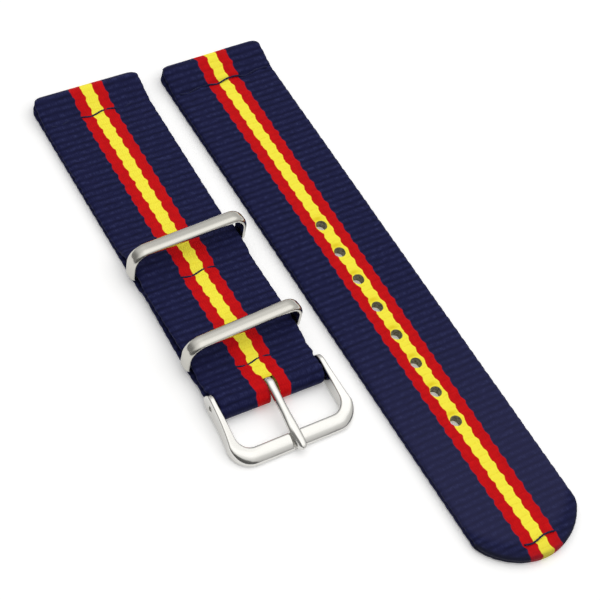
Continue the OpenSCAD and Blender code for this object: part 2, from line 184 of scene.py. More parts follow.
def webbingMaterial(look, ribPitch):
    s = newMaterial("webbing")
    place, u, v = s.uvParts("weave")
    _, sealed, pressed = s.uvParts("wear")  # sealed below 0 means painted sheen, the navy lighter towards the tip
    turn = 2 * math.pi / ribPitch
    drift = s.maths("SUBTRACT", s.noise(place, 0.55), 0.5)
    ragged = s.maths("SUBTRACT", s.noise(place, 2.3, 3), 0.5)
    side = s.maths("SIGN", u)
    # the outermost yarn of a stripe shows on every second rib
    slow = s.maths("SINE", s.maths("MULTIPLY_ADD", v, turn / 2, s.maths("MULTIPLY", side, 0.9)))
    fast = s.maths("SINE", s.maths("MULTIPLY_ADD", v, turn, s.maths("MULTIPLY", side, 0.5)))
    step = s.maths("MULTIPLY_ADD", slow, look["step"] * 0.85, s.maths("MULTIPLY", fast, look["step"] * 0.28))
    step = s.maths("MULTIPLY_ADD", ragged, look["step"] * 1.1, step)
    reach = s.maths("SUBTRACT", s.maths("ABSOLUTE", s.maths("MULTIPLY_ADD", drift, 0.25, u)), step)
    isRed = s.ramp(reach, look["redHalf"] + 0.09, look["redHalf"] - 0.09)
    isYellow = s.ramp(reach, look["yellowHalf"] + 0.08, look["yellowHalf"] - 0.08)
    # ribs across the band, a little wavy, with single yarns along it
    waved = s.maths("MULTIPLY_ADD", ragged, 0.22, s.maths("MULTIPLY_ADD", drift, 0.6, v))
    wave = s.maths("SINE", s.maths("MULTIPLY", waved, turn / 2))
    rib = s.maths("ABSOLUTE", wave)
    yarn = s.maths("SINE", s.maths("MULTIPLY", u, 2 * math.pi / look["yarn"]))
    woven = s.maths("MULTIPLY", yarn, wave)
    # painted shade between the ribs, a painted highlight on their tops in patches and dashes
    patches = s.ramp(s.noise(place, 0.8, 3), 0.36, 0.66)
    dashes = s.ramp(s.noise(place, 1.9, 2), 0.35, 0.65)
    shadeDepth = s.maths("MULTIPLY_ADD", s.ramp(s.noise(place, 0.45, 2), 0.35, 0.65), 0.46, 0.18)
    valleyShade = s.ramp(s.maths("MULTIPLY_ADD", ragged, 0.45, rib), 0.62, 0.1)
    top = s.ramp(s.maths("MULTIPLY_ADD", ragged, 0.5, rib), 0.55, 1.0)
    patchy = s.maths("MULTIPLY_ADD", patches, 0.75, 0.25)
    dashed = s.maths("MULTIPLY_ADD", dashes, 0.7, 0.3)
    crestHighlight = s.maths("MULTIPLY", top, s.maths("MULTIPLY", patchy, dashed))
    navy = s.mix(crestHighlight, look["navy"], look["navyHighlight"])
    navy = s.mix(s.maths("MULTIPLY", valleyShade, shadeDepth), navy, look["navyShade"])
    # painted sheen: the navy lighter towards the tip
    paintedSheen = s.maths("MAXIMUM", s.maths("MULTIPLY", sealed, -1.0), 0.0)
    navy = s.mix(paintedSheen, navy, look["navyPaintedSheen"])
    red = s.mix(s.maths("MULTIPLY", patches, 0.35), look["red"], look["redDarkAndShade"])
    red = s.mix(s.maths("MULTIPLY", valleyShade, s.maths("MULTIPLY", shadeDepth, 0.6)), red, look["redDarkAndShade"])
    shaded = s.maths("MULTIPLY", valleyShade, s.maths("MULTIPLY_ADD", dashes, 0.35, 0.05))
    yellow = s.mix(shaded, look["yellow"], look["yellowDarkAndShade"])
    # the yellow darkened beside the holes and by the slot
    yellow = s.mix(pressed, yellow, look["yellowDarkAndShade"])
    colour = s.mix(isYellow, s.mix(isRed, navy, red), yellow)
    # the melted rim of the tip, where the stripes stay lighter
    melting = s.maths("MAXIMUM", sealed, 0.0)
    melted = s.maths("MULTIPLY", melting, s.maths("MULTIPLY_ADD", isRed, -0.55, 1.0))
    return s.surface(
        bump=(s.maths("MULTIPLY_ADD", woven, 0.35, s.noise(place, 9.0, 2)), 0.00006, 0.7),
        Base_Color=s.mix(melted, colour, look["burnt"]),
        Roughness=0.6,
        Sheen_Weight=0.02,
        Sheen_Roughness=0.45,
        Specular_IOR_Level=0.07,
    )


def cutEdgeMaterial(name, dark, light):
    s = newMaterial(name)
    place = s.add("TexCoord", out="Object")
    return s.surface(
        bump=(s.noise(place, 5000, 2), 0.00005, 0.7),
        Base_Color=s.mix(s.ramp(s.noise(place, 2500, 3), 0.35, 0.65), dark, light),
        Roughness=0.5,
        Specular_IOR_Level=0.2,
    )


def threadMaterial(name, dark, light):
    s = newMaterial(name)
    place = s.add("TexCoord", out="Object")
    return s.surface(
        bump=(s.noise(place, 6000, 1), 0.00004, 0.8),
        Base_Color=s.mix(s.ramp(s.noise(place, 3000, 2), 0.3, 0.7), dark, light),
        Roughness=0.55,
        Sheen_Weight=0.03,
        Specular_IOR_Level=0.12,
    )


def steelMaterial(name, colour, roughness):
    s = newMaterial(name)
    place = s.add("TexCoord", out="Object")
    grain = s.noise(place, 4200, 3)
    darker = tuple(c * 0.94 for c in colour) + (1,)
    return s.surface(
        bump=(grain, 0.000003, 0.1),
        Base_Color=s.mix(s.noise(place, 180, 3), darker, tuple(colour) + (1,)),
        Metallic=1.0,
        Roughness=s.maths("MULTIPLY_ADD", grain, 0.05, roughness),
    )


holeEdge = cutEdgeMaterial("holeEdge", (0.17, 0.155, 0.10, 1), (0.40, 0.375, 0.27, 1))
slotEdge = cutEdgeMaterial("slotEdge", (0.20, 0.14, 0.03, 1), (0.60, 0.46, 0.06, 1))
thread = threadMaterial("thread", (0.007, 0.009, 0.040, 1), (0.014, 0.017, 0.066, 1))
satinSteel = steelMaterial("satinSteel", (0.70, 0.692, 0.665), 0.13)
keeperSteel = steelMaterial("keeperSteel", (0.575, 0.562, 0.52), 0.15)
turnedSteel = steelMaterial("turnedSteel", (0.50, 0.50, 0.48), 0.3)
print("materials made")


def addMesh(name, points, faces, material, maps=None, smooth=True):
    mesh = bpy.data.meshes.new(name)
    mesh.from_pydata([tuple(p) for p in np.asarray(points) * mm], [], faces)
    mesh.materials.append(material)
    mesh.polygons.foreach_set("use_smooth", np.full(len(mesh.polygons), smooth))
    corners = np.zeros(len(mesh.loops), np.int32)
    mesh.loops.foreach_get("vertex_index", corners)
    for key, values in (maps or {}).items():
        layer = mesh.uv_layers.new(name=key)
        layer.data.foreach_set("uv", np.asarray(values, np.float32)[corners].ravel())
    mesh.validate()
    mesh.update()
    piece = bpy.data.objects.new(name, mesh)
    bpy.context.scene.collection.objects.link(piece)
    return piece


def onBuckleHalf(points):
    return np.asarray(points, float) + np.array([centreX, lugEndY, 0])


def smoothStep(x, low, high):
    t = np.clip((np.asarray(x, float) - low) / (high - low), 0, 1)
    return t * t * (3 - 2 * t)


def bell(x, reach):
    return np.exp(-((x / reach) ** 2))


def wander(u, v, cell, seed):
    # smooth unevenness from a grid of random heights, in -1 to 1; cell is the grid's size along u and v
    size = 64
    table = np.random.default_rng(seed).uniform(-1, 1, (size, size))
    a, b = u / cell[0] + size / 2, v / cell[1] + size / 2
    i, j = np.floor(a).astype(int), np.floor(b).astype(int)
    p, q = smoothStep(a - i, 0, 1), smoothStep(b - j, 0, 1)
    low = table[i % size, j % size] * (1 - p) + table[(i + 1) % size, j % size] * p
    high = table[i % size, (j + 1) % size] * (1 - p) + table[(i + 1) % size, (j + 1) % size] * p
    return low * (1 - q) + high * q


def arc(centre, radius, start, end, count=24):
    a = np.radians(np.linspace(start, end, count))
    return [(centre[0] + radius * math.cos(t), centre[1] + radius * math.sin(t)) for t in a]


def between(p, q, parts):
    # the points that divide the way from p to q, without its ends
    return [(p[0] + (q[0] - p[0]) * k / parts, p[1] + (q[1] - p[1]) * k / parts) for k in range(1, parts)]


def tangentPoint(p, c, radius, side):
    # where a straight line from p touches the circle about c, on one side or the other
    d = math.hypot(c[0] - p[0], c[1] - p[1])
    turn = math.atan2(c[1] - p[1], c[0] - p[0]) + side * math.asin(radius / d)
    run = math.sqrt(d * d - radius * radius)
    return (p[0] + run * math.cos(turn), p[1] + run * math.sin(turn))


def angleOf(p, c):
    return math.degrees(math.atan2(p[1] - c[1], p[0] - c[0]))


def directions(path, closed=True):
    ahead = np.roll(path, -1, 0) - np.roll(path, 1, 0)
    if not closed:
        ahead[0], ahead[-1] = path[1] - path[0], path[-1] - path[-2]
    return ahead / np.linalg.norm(ahead, axis=1)[:, None]


def evenPath(points, spacing, closed):
    points = np.array(points, float)
    if closed:
        points = np.vstack([points, points[:1]])
    length = np.concatenate([[0], np.cumsum(np.linalg.norm(np.diff(points, axis=0), axis=1))])
    count = int(round(length[-1] / spacing))
    at = np.linspace(0, length[-1], count + 1)
    path = np.stack([np.interp(at, length, points[:, k]) for k in (0, 1)], 1)
    return path[:-1] if closed else path


def soften(path, spacing, reach, share):
    # a running mean round a closed path, with a bell-shaped weight, taken on by share
    half = int(4 * reach / spacing)
    weights = np.exp(-0.5 * (np.arange(-half, half + 1) * spacing / reach) ** 2)
    weights /= weights.sum()
    padded = np.pad(path, ((half, half), (0, 0)), mode="wrap")
    smooth = np.stack([np.convolve(padded[:, k], weights, "valid") for k in (0, 1)], 1)
    return path * (1 - share) + smooth * share


band = {
    "width": 22.0,
    "ply": 0.9,
    "gap": 0.1,
    "sleeveRadius": 1.2,  # middle of the ply round the lug bar
    "rowAt": 7.0,  # the row of thread that closes the sleeve
    "sewnHalf": 10.6,  # half the width that a row of thread pulls together
    "pinch": 0.2,
    "lugCorners": (2.45, 1.9),  # left and right, how round the folded end's corners are
    "rib": 1.325,
    "ribHeight": 0.105,
    "ribDrift": 0.10,
    "ribUneven": 0.25,
    "swell": 0.035,
    "selvedge": 0.55,  # how far in the edge starts to round
    "lugSelvedge": 1.3,  # the same at the folded end
    "lugZone": (-3.2, -0.6),  # where along the band the one goes over into the other
    "edgeFall": 0.93,  # 1 would bring the edge to nothing
    "scallop": 0.07,
    "columns": 54,
    "rowsPerRib": 5,
}
halfPly = band["ply"] / 2
flatHeight = 2 * band["ply"] + band["gap"]
sleeveCentre = (-halfPly - band["sleeveRadius"], halfPly + band["sleeveRadius"])
spacing = band["rib"] / band["rowsPerRib"]
webbing = webbingMaterial(webbingLook, band["rib"])


def bandColumns():
    # shares of the half width, closer together over the stripes and at the selvedges
    t = np.linspace(-1, 1, band["columns"] - 1)
    inner = np.sign(t) * (0.62 * np.abs(t) + 0.38 * np.abs(t) ** 2.2)
    return np.concatenate([[-1], inner[:1] * 0.99, inner[1:-1], inner[-1:] * 0.99, [1]])


def lugCorner(y, share):
    # what the folded end's rounded corners take off the half width
    radius = np.where(share < 0, *band["lugCorners"])
    return radius - np.sqrt(np.clip(radius**2 - np.clip(y + radius, 0, radius) ** 2, 0, None))


def pulledTogether(y, u, rows, half=band["sewnHalf"], reach=0.5, ease=0.8):
    # the thread pulls the plies together along its rows
    return sum(bell(y + row, reach) for row in rows) * smoothStep(half - np.abs(u), 0, ease)


def bandFaces(rows, columns, closed):
    # the points of the outer skin are numbered first, then those of the inner one
    outer = np.arange(rows * columns).reshape(rows, columns)
    inner = outer + rows * columns
    faces = []
    for i in range(rows if closed else rows - 1):
        k = (i + 1) % rows
        for j in range(columns - 1):
            faces.append((outer[i, j], outer[i, j + 1], outer[k, j + 1], outer[k, j]))
            faces.append((inner[i, j], inner[k, j], inner[k, j + 1], inner[i, j + 1]))
        for j, flip in ((0, True), (columns - 1, False)):
            quad = (outer[i, j], outer[k, j], inner[k, j], inner[i, j])
            faces.append(quad if flip else quad[::-1])
    if not closed:
        for i, flip in ((0, False), (rows - 1, True)):
            for j in range(columns - 1):
                quad = (outer[i, j], inner[i, j], inner[i, j + 1], outer[i, j + 1])
                faces.append(quad[::-1] if flip else quad)
    return [tuple(int(k) for k in face) for face in faces]


def ribbon(name, path, closed, halfWidth, changes, place, ends=None):
    # path runs so that the outside of the band lies on its left; changes says what the half's own thread,
    # holes, slot and ends do to the skins, the pattern and the wear map, which holds the sealed ends, a
    # painted sheen and the darkened yellow
    ahead = directions(path, closed)
    along = np.concatenate([[0], np.cumsum(np.linalg.norm(np.diff(path, axis=0), axis=1))])
    columns = bandColumns()
    s = np.repeat(along[:, None], len(columns), 1)
    share = np.repeat(columns[None, :], len(path), 0)
    if ends is not None:
        s = ends(s, share)
    # the side view is read at each point's own distance along the band
    sideView = (path[:, 0], path[:, 1], -ahead[:, 1], ahead[:, 0])
    y, z, outY, outZ = (np.interp(s, along, values) for values in sideView)
    half = halfWidth(y, share)
    across = share * band["width"] / 2
    edge = np.abs(share)
    phase = math.pi * (s + band["ribDrift"] * wander(across, s, (3.5, 2.4), 3)) / band["rib"]
    rib = np.abs(np.sin(phase))
    scallop = band["scallop"] * (rib - 0.6 + 0.5 * np.sin(phase + np.sign(share)))
    u = share * half + np.sign(share) * scallop * smoothStep(edge, 0.9, 1.0)
    soft = band["selvedge"] + (band["lugSelvedge"] - band["selvedge"]) * smoothStep(y, *band["lugZone"])
    fall = np.clip((edge * half - (half - soft)) / soft, 0, 1)
    thick = halfPly * np.sqrt(np.clip(1 - band["edgeFall"] * fall**2, 0, 1))
    uneven = 1 + band["ribUneven"] * wander(across, s, (1.2, band["rib"]), 5)
    lift = band["ribHeight"] * (rib - 0.75) * uneven * (1 - fall)
    lift = lift + band["swell"] * wander(across, s, (5, 6), 8)
    change = {"shift": 0, "outer": 0, "inner": 0, "aside": 0, "sealed": 0, "pressed": 0} | changes(y, z, u)
    skins = []
    for offset in (thick + lift + change["outer"], change["inner"] - thick):
        offset = offset + change["shift"]
        skins.append(np.stack([u, y + outY * offset, z + outZ * offset], 2).reshape(-1, 3))
    weave = np.stack([u + change["aside"], s], 2).reshape(-1, 2)
    wear = np.stack([change[k] + 0 * u for k in ("sealed", "pressed")], 2).reshape(-1, 2)
    maps = {"weave": np.vstack([weave, weave]), "wear": np.vstack([wear, wear])}
    faces = bandFaces(len(path), len(columns), closed)
    return addMesh(name, place(np.concatenate(skins)), faces, webbing, maps=maps)


def cutWith(piece, name, points, faces, material):
    # punches a closed shape out of a piece; the cut faces take the cutter's own material
    cutter = addMesh(name, points, faces, material, smooth=False)
    modifier = piece.modifiers.new("cut", "BOOLEAN")
    modifier.operation = "DIFFERENCE"
    modifier.solver = "EXACT"
    modifier.object = cutter
    if hasattr(modifier, "material_mode"):
        modifier.material_mode = "TRANSFER"
    graph = bpy.context.evaluated_depsgraph_get()
    result = bpy.data.meshes.new_from_object(piece.evaluated_get(graph), depsgraph=graph)
    piece.modifiers.clear()
    piece.data = result
    bpy.data.objects.remove(cutter)


def pegs(places, radius, low, high, axis=2, sides=40):
    # closed round pegs, each about a place; axis is the way that they point
    points, faces = [], []
    for place in places:
        base = len(points)
        for level in (low, high):
            for k in range(sides):
                a = 2 * math.pi * k / sides
                p = [radius * math.cos(a), radius * math.sin(a)]
                p.insert(axis, level)
                points.append([p[n] + place[n] for n in range(3)])
        ring = list(range(base, base + sides))
        top = [k + sides for k in ring]
        faces += [tuple(ring[::-1]), tuple(top)]
        for k in range(sides):
            n = (k + 1) % sides
            faces.append((ring[k], ring[n], top[n], top[k]))
    return points, faces


buckleHalf = {
    # distances are from the lug end
    "upperKeeper": 42.5,
    "lowerKeeper": 63.1,
    "rowGap": 4.65,  # from a keeper to the row of thread beyond it
    "channelHalf": 2.85,
    "channelHeight": 1.521,
    "ramp": 2.7,
    "bend": 0.55,  # how soft the channels' bends are
    "bendsFrom": (3.5, 6),
    "bendsTo": (71, 69),
    "barAt": 73.3,
    "barZ": 2.2,
    "foldSlack": 0.8,
    "foldRadius": 1.25,
    "narrowAt": 70.6,
    "narrowBy": 0.5,
    "slotSides": (-0.8, 1.2),
    "slotBack": 0.8,
    "slotRound": 0.35,
    "slotBore": 1.88,  # round the bar, for the tang's eye
    "crowded": (0.5, 0.24),  # how far yarns are pushed aside, left and right of the slot
}
upperRow = buckleHalf["upperKeeper"] + buckleHalf["rowGap"]
lowerRow = buckleHalf["lowerKeeper"] + buckleHalf["rowGap"]
channelRise = (buckleHalf["channelHeight"] - band["gap"]) / 2
barPlace = (0, -buckleHalf["barAt"], buckleHalf["barZ"])


def buckleSideView(b):
    k1, k2, c = -b["upperKeeper"], -b["lowerKeeper"], b["channelHalf"]
    low, flatTop = halfPly, flatHeight - halfPly
    highTop = band["ply"] + b["channelHeight"] + halfPly
    bar = (-b["barAt"], b["barZ"])
    loose = (-b["barAt"] - b["foldSlack"], b["foldRadius"] + halfPly)
    foot = tangentPoint((-lowerRow, low + channelRise), loose, b["foldRadius"], 1)
    top = tangentPoint((-lowerRow, flatTop + channelRise), bar, b["foldRadius"], -1)
    points = [
        (sleeveCentre[0], low), (k1 - c, low), (-upperRow, low + channelRise),
        (k2 + c, low), (k2 - c, low), (-lowerRow, low + channelRise),
    ]
    # round the fold, which hangs loose below the bar
    start, middle = angleOf(foot, loose), angleOf(bar, loose) + 90
    points += arc(loose, b["foldRadius"], start + 360 if start < 0 else start, middle, 14)
    points += arc(bar, b["foldRadius"], middle, angleOf(top, bar), 10)
    points += [
        (-lowerRow, flatTop + channelRise), (k2 - c, highTop), (k2 + c, highTop),
        (-upperRow, flatTop + channelRise), (k1 - c, highTop), (k1 + c, highTop),
        (k1 + c + b["ramp"], flatTop), (-band["rowAt"], flatTop),
    ]
    off = tangentPoint((-band["rowAt"], flatTop), sleeveCentre, band["sleeveRadius"], 1)
    return points + arc(sleeveCentre, band["sleeveRadius"], angleOf(off, sleeveCentre), -88, 24)


def buckleBandPath(b):
    fine = 0.1  # mm from point to point
    path = evenPath(buckleSideView(b), fine, True)
    # soft bends at the channels, true rounds at the sleeve and the fold
    share = smoothStep(-path[:, 0], *b["bendsFrom"]) * smoothStep(-path[:, 0], *b["bendsTo"])
    path = soften(path, fine, b["bend"], share[:, None])
    length = np.linalg.norm(np.diff(np.vstack([path, path[:1]]), axis=0), axis=1).sum()
    return evenPath(path, length / round(length / spacing), True)


def buckleHalfWidth(y, share):
    b = buckleHalf
    narrower = b["narrowBy"] * smoothStep(-y, b["narrowAt"] - 0.6, b["narrowAt"] + 0.4)
    return band["width"] / 2 - lugCorner(y, share) - narrower


def buckleChanges(y, z, u):
    b = buckleHalf
    upper = z > 2
    bySlot = bell(y + b["barAt"] - 1.2, 0.8) * smoothStep(2 - np.abs(u), 0, 1) * upper
    rim = smoothStep(b["barAt"] - b["slotBack"] + y, 0.6, 0.05) * upper
    # the middle yarns crowd together where the slot parts them
    left, right = (smoothStep(x, 0, 0.6) * (1 - smoothStep(x, 1.2, 2.6)) for x in (-u, u))
    crowding = b["crowded"][1] * right - b["crowded"][0] * left
    return {
        "outer": 0.2 * bySlot - band["pinch"] * pulledTogether(y, u, (band["rowAt"], upperRow, lowerRow)),
        "aside": smoothStep(-y, b["narrowAt"], b["narrowAt"] + 1.7) * crowding,
        "sealed": 0.5 * rim * (np.abs(u) < 1.3),
        # darker yellow near the bar and along the slot's back edge
        "pressed": np.clip(0.5 * bySlot + 0.8 * rim, 0, 1),
    }


def slotCutter(b):
    (left, right), r = b["slotSides"], b["slotRound"]
    back = -b["barAt"] + b["slotBack"] - r
    front = -b["barAt"] - b["foldSlack"] - 3 * b["foldRadius"]
    outline = [(left, front), (right, front)]
    outline += arc((right - r, back), r, 0, 90, 6) + arc((left + r, back), r, 90, 180, 6)
    count = len(outline)
    points = [(x, y, z) for z in (-2, 6) for x, y in outline]
    faces = [tuple(range(count))[::-1], tuple(range(count, 2 * count))]
    faces += [(k, (k + 1) % count, (k + 1) % count + count, k + count) for k in range(count)]
    return onBuckleHalf(points), faces


bucklePath = buckleBandPath(buckleHalf)
buckleBand = ribbon("buckleBand", bucklePath[::-1], True, buckleHalfWidth, buckleChanges, onBuckleHalf)
eyeRoom, eyeRoomFaces = pegs([barPlace], buckleHalf["slotBore"], *buckleHalf["slotSides"], axis=0)
cutWith(buckleBand, "eyeRoom", onBuckleHalf(eyeRoom), eyeRoomFaces, slotEdge)
cutWith(buckleBand, "slot", *slotCutter(buckleHalf), slotEdge)
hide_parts("buckle_strap")
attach(buckleBand, "buckle_half")
print("buckle half's band:", len(buckleBand.data.polygons), "faces")

tailHalf = {
    "across": 26.75,  # of the lug end, from the buckle half's
    "forward": 1.0,
    "turn": 1.2,
    "length": 120.5,
    "tipRadius": 12.3,
    "tipZone": 14.0,  # the last stretch, where the ribs close up to follow the tip
    "tipRow": 3.2,  # from the tip to its row of thread
    "tipSewnHalf": 3.8,
    "holeRadius": 1.1,
    "holeCount": 8,
    "holePitch": 6.65,
    "firstHole": 44.8,
    "holeShift": 0.4,
    "holePush": 0.8,  # how far yarns are pushed aside
    "pushReach": 3.2,
}
tipRowAt = tailHalf["length"] - tailHalf["tipRow"]


def onTailHalf(points):
    points = np.asarray(points, float)
    a = math.radians(tailHalf["turn"])
    x = tailHalf["across"] + points[..., 0] * math.cos(a) - points[..., 1] * math.sin(a)
    y = -tailHalf["forward"] + points[..., 0] * math.sin(a) + points[..., 1] * math.cos(a)
    return onBuckleHalf(np.stack([x, y, points[..., 2]], -1))


def holePlaces(t):
    return [(-t["holeShift"], -t["firstHole"] - k * t["holePitch"], 0) for k in range(t["holeCount"])]


def tipLength(u):
    r = tailHalf["tipRadius"]
    return tailHalf["length"] - r + np.sqrt(r * r - np.minimum(np.abs(u), band["width"] / 2) ** 2)


def tailSideView(t):
    low, top = halfPly, flatHeight - halfPly
    off = tangentPoint((-band["rowAt"], top), sleeveCentre, band["sleeveRadius"], 1)
    points = [(-t["length"], low), (sleeveCentre[0], low)]
    points += arc(sleeveCentre, band["sleeveRadius"], -90, angleOf(off, sleeveCentre), 28)
    return points + [(-band["rowAt"], top), (-t["length"], top)]


def tailHalfWidth(y, share):
    return band["width"] / 2 - lugCorner(y, share)


tailPath = evenPath(tailSideView(tailHalf), spacing, False)
tailPathLength = np.linalg.norm(np.diff(tailPath, axis=0), axis=1).sum()


def roundTip(s, share):
    # both ends of the webbing follow the tip's arc
    zone = tailHalf["tipZone"]
    short = tailHalf["length"] - tipLength(share * band["width"] / 2)
    start = np.where(s < zone, short + s / zone * (zone - short), s)
    back = tailPathLength - s
    return np.where(back < zone, tailPathLength - (short + back / zone * (zone - short)), start)


def tailChanges(y, z, u):
    toTip = tipLength(u) + y
    sealed = smoothStep(toTip, 1.3, 0.1)
    rounding = 0.9 * halfPly * (1 - np.sqrt(np.clip(1 - np.clip(1 - toTip / 0.6, 0, 1) ** 2, 0, 1)))
    sewn = pulledTogether(y, u, (band["rowAt"],))
    sewn = sewn + pulledTogether(y, u, (tipRowAt,), half=tailHalf["tipSewnHalf"], reach=0.4, ease=0.5)
    puff, pressed, closed = 0, 0, 0
    for hx, hy, _ in holePlaces(tailHalf):
        d = np.hypot(u - hx, y - hy)
        puff = puff + 0.05 * bell(d - 1.5, 0.5)
        # darker yellow just beside each hole, on its side towards the lug end
        pressed = pressed + bell(u - hx, 1.1) * bell(y - hy - 1.5, 0.6)
        closed = np.maximum(closed, smoothStep(d, 2.6, 1.6))
    burnt = 0.85 * smoothStep(toTip, 0.9, 0.0) + 0.28 * smoothStep(toTip, 3.0, 0.6)
    # painted sheen: the navy lighter over the stretch before the tip
    paintedSheen = 0.4 * smoothStep(-y, 55, 105) * smoothStep(toTip, 2.0, 5.0)
    return {
        "shift": -0.06 * sealed,
        "outer": puff - rounding - band["pinch"] * sewn,
        "inner": -0.046 * closed,  # no gap between the plies shows in a hole
        "sealed": np.clip(burnt, 0, 1) - paintedSheen,
        "pressed": np.clip(pressed, 0, 1),
    }


def pushYarns(piece, t):
    # yarns give way round each hole: points move out from its middle while the pattern stays on them
    mesh = piece.data
    co = np.zeros(len(mesh.vertices) * 3)
    mesh.vertices.foreach_get("co", co)
    co = co.reshape(-1, 3)
    reach = t["pushReach"] * mm
    for hole in onTailHalf(holePlaces(t)) * mm:
        away = co[:, :2] - hole[:2]
        d = np.linalg.norm(away, axis=1) + 1e-9
        near = d < reach
        push = (t["holePush"] * mm) ** 2 * smoothStep(reach - d, 0, 2.2 * mm)
        moved = np.sqrt(d**2 + push)
        co[near, :2] = hole[:2] + away[near] * (moved[near] / d[near])[:, None]
    mesh.vertices.foreach_set("co", co.ravel())
    mesh.update()


tailBand = ribbon("tailBand", tailPath[::-1], False, tailHalfWidth, tailChanges, onTailHalf, roundTip)
pushYarns(tailBand, tailHalf)
punch, punchFaces = pegs(holePlaces(tailHalf), tailHalf["holeRadius"], -1, 4)
cutWith(tailBand, "punch", onTailHalf(punch), punchFaces, holeEdge)
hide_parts("tail_strap")
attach(tailBand, "tail_half")
print("tail half's band:", len(tailBand.data.polygons), "faces")

stitching = {
    "radius": 0.17,
    "pitch": 3.3,
    "count": 6,
    "tipCount": 2,
    "sway": 0.28,
    "stands": 0.12,  # out of the band between two needle holes
    "dips": 0.10,  # into it at a hole
    "sinks": 0.17,  # deeper into it beside the stripes
    "stripes": (3.3, 3.9),
    "sides": 10,
    "stations": 20,  # a stitch
}


def sewnRow(name, at, rise, count, place, node, body):
    # two threads, one on each face of the band, meeting at every needle hole
    st = stitching
    n = st["sides"]
    points, faces = [], []
    for level, up in ((rise, -1), (flatHeight + rise, 1)):
        x = np.linspace(-count * st["pitch"] / 2, count * st["pitch"] / 2, st["stations"] * count + 1)
        bow = np.abs(np.sin(math.pi * (x / st["pitch"] + 0.5))) ** 0.5
        sunk = st["sinks"] * smoothStep(np.abs(x), *st["stripes"])
        z = level + up * (st["stands"] * bow - st["dips"] * (1 - bow) - sunk)
        y = up * st["sway"] * np.sin(math.pi * x / st["pitch"]) - at
        base = len(points)
        for px, py, pz in zip(x, y, z):
            for a in np.linspace(0, 2 * math.pi, n, endpoint=False):
                r = st["radius"] * (1 + 0.12 * math.sin(2 * a + px * 9))  # the twist of its strands
                points.append((px, py + r * math.cos(a), pz + r * math.sin(a)))
        for k in range(len(x) - 1):
            for j in range(n):
                a, b = base + k * n + j, base + k * n + (j + 1) % n
                faces.append((a, a + n, b + n, b))
        faces.append(tuple(base + j for j in range(n)))
        faces.append(tuple(base + (len(x) - 1) * n + j for j in range(n))[::-1])
    piece = addMesh(name, place(points), faces, thread)
    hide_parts(node)
    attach(piece, body)


for name, node, at, rise in (
    ("buckleLugStitches", "buckle_lug_stitches", band["rowAt"], 0),
    ("upperKeeperStitches", "upper_keeper_stitches", upperRow, channelRise),
    ("lowerKeeperStitches", "lower_keeper_stitches", lowerRow, channelRise),
):
    sewnRow(name, at, rise, stitching["count"], onBuckleHalf, node, "buckle_half")
for name, node, at, count in (
    ("tailLugStitches", "tail_lug_stitches", band["rowAt"], stitching["count"]),
    ("tailTipStitches", "tail_tip_stitches", tipRowAt, stitching["tipCount"]),
):
    sewnRow(name, at, 0, count, onTailHalf, node, "tail_half")
print("stitches sewn")


def section(width, height, corners, steps=6, crown=0.0, slants=(1, 1, 1, 1)):
    # an oblong about 0 with corners rounded as quarter ellipses, from the outer top one round; its points
    # are given outwards and up, and a slant above 1 makes a corner more of a slope
    w, h = width / 2, height / 2
    # the corners shrink where two of them would meet
    (a0, b0), (a1, b1), (a2, b2), (a3, b3) = corners
    wide = min(1, width * 0.98 / (a0 + a1), width * 0.98 / (a2 + a3))
    tall = min(1, height * 0.98 / (b1 + b2), height * 0.98 / (b0 + b3))
    rounds = []
    for k, (sa, sb) in enumerate(((1, 1), (-1, 1), (-1, -1), (1, -1))):
        ra, rb = corners[k][0] * wide, corners[k][1] * tall
        here = []
        for i in range(steps + 1):
            t = math.radians(90 * k + 90 * i / steps)
            ca, cb = (math.copysign(abs(c) ** slants[k], c) for c in (math.cos(t), math.sin(t)))
            here.append((sa * (w - ra) + ra * ca, sb * (h - rb) + rb * cb))
        rounds.append(here)
    points = []
    for k, here in enumerate(rounds):
        points += here + between(here[-1], rounds[(k + 1) % 4][0], 4)
    return np.array([(a, b + crown * (1 - (a / w) ** 2) if b > 0 else b) for a, b in points])


def loft(name, rings, closed, material):
    rings = np.asarray(rings)
    n, m = rings.shape[:2]
    faces = []
    for i in range(n if closed else n - 1):
        k = (i + 1) % n
        for j in range(m):
            q = (j + 1) % m
            faces.append((i * m + j, i * m + q, k * m + q, k * m + j))
    if not closed:
        faces.append(tuple(range(m))[::-1])
        faces.append(tuple((n - 1) * m + j for j in range(m)))
    return addMesh(name, onBuckleHalf(rings.reshape(-1, 3)), faces, material)


buckle = {
    "innerHalf": 10.7,
    "rearHalf": 11.7,
    "frontHalf": 12.62,
    # the front bar sits a little to the right and turned, its left end forwards
    "aside": 0.13,
    "askew": 0.15,
    "reach": 9.24,
    "barWidth": 2.95,
    "barHeight": 1.98,
    "lobe": 1.7,
    "lobeBehind": 0.8,
    "innerRadius": 2.7,
    "outerRadius": 4.1,
    "boreRadius": 0.45,
    "grooveWidth": 2.2,
    "grooveAside": -0.2,
    "grooveZ": 1.68,
    "grooveSink": 0.35,
    # how far each edge rounds inwards and down, on the arms, at the corners and on the front bar:
    # outer top, inner top, inner and outer foot
    "edges": (
        ((0.42, 0.40), (1.95, 1.42), (2.50, 1.50)),
        ((0.30, 0.28), (0.5, 0.4), (0.5, 0.4)),
        ((0.15, 0.15), (0.2, 0.2), (0.2, 0.2)),
        ((0.2, 0.2), (0.45, 0.4), (0.35, 0.35)),
    ),
    "slants": (1.0, 1.25, 1.22),
    "flare": 2.0,  # the arms widen towards the corners
}


